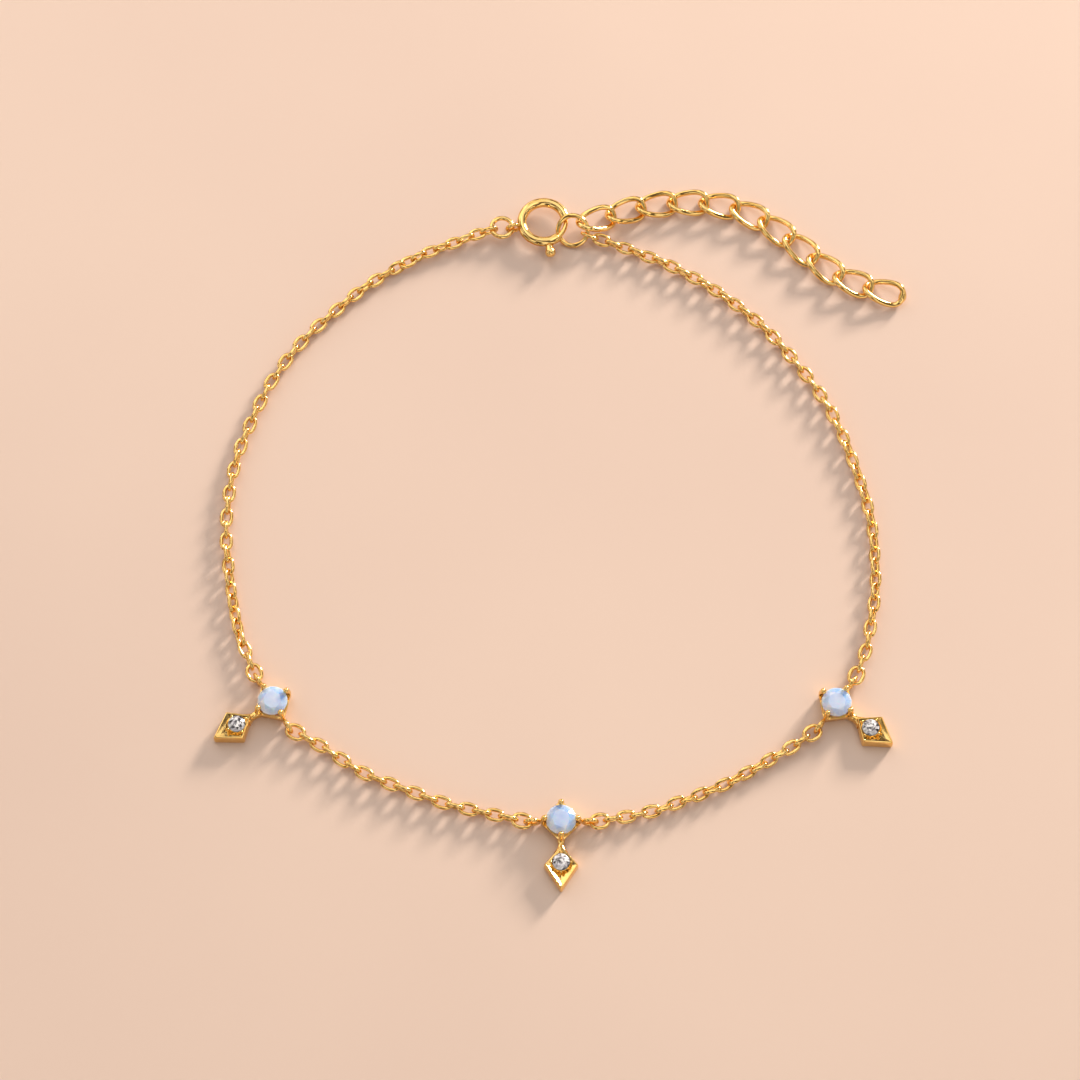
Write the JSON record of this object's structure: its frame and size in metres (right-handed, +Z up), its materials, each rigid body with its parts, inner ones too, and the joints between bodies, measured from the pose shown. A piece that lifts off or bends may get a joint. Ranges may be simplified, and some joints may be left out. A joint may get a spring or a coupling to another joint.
{
  "type": "charm bracelet",
  "caption": "Fine yellow metal cable chain bracelet with three stone drops, a spring ring clasp and a free extender chain, lying in a rounded loop.",
  "frame": {"origin": "on the table under the middle of the bracelet's bounding box", "axes": "+Z up from the table, +Y from the middle drop towards the clasp, +X to the side on which the extender lies"},
  "size_m": [0.0615, 0.0667, 0.0021],
  "materials": {
    "gold": "polished yellow gold plate",
    "opal": "milky pale blue, faceted and polished",
    "crystal": "clear, faceted and polished"
  },
  "bodies": {
    "bracelet": {"clasp_body": "gold", "clasp_jump_ring": "gold", "end_ring": "gold", "left_chain": "gold", "right_chain": "gold", "lower_left_chain": "gold", "lower_right_chain": "gold", "extender_link_01": "gold", "extender_link_02": "gold", "extender_link_03": "gold", "extender_link_04": "gold", "extender_link_05": "gold", "extender_link_06": "gold", "extender_link_07": "gold", "extender_link_08": "gold", "extender_link_09": "gold", "extender_link_10": "gold", "extender_link_11": "gold", "left_setting": "gold", "centre_setting": "gold", "right_setting": "gold", "left_opal": "opal", "centre_opal": "opal", "right_opal": "opal", "left_crystal": "crystal", "centre_crystal": "crystal", "right_crystal": "crystal"},
    "trigger": {"clasp_trigger": "gold"}
  },
  "joints": [
    {"name": "clasp_gate", "type": "hinge", "parent": "bracelet", "child": "trigger", "pos_m": [-0.00205, 0.0299, 0.00096], "axis": [0, 0, 1], "range_deg": [-60, 0], "stiffness_Nm_per_rad": 0.001, "springref_deg": 20.05}
  ]
}
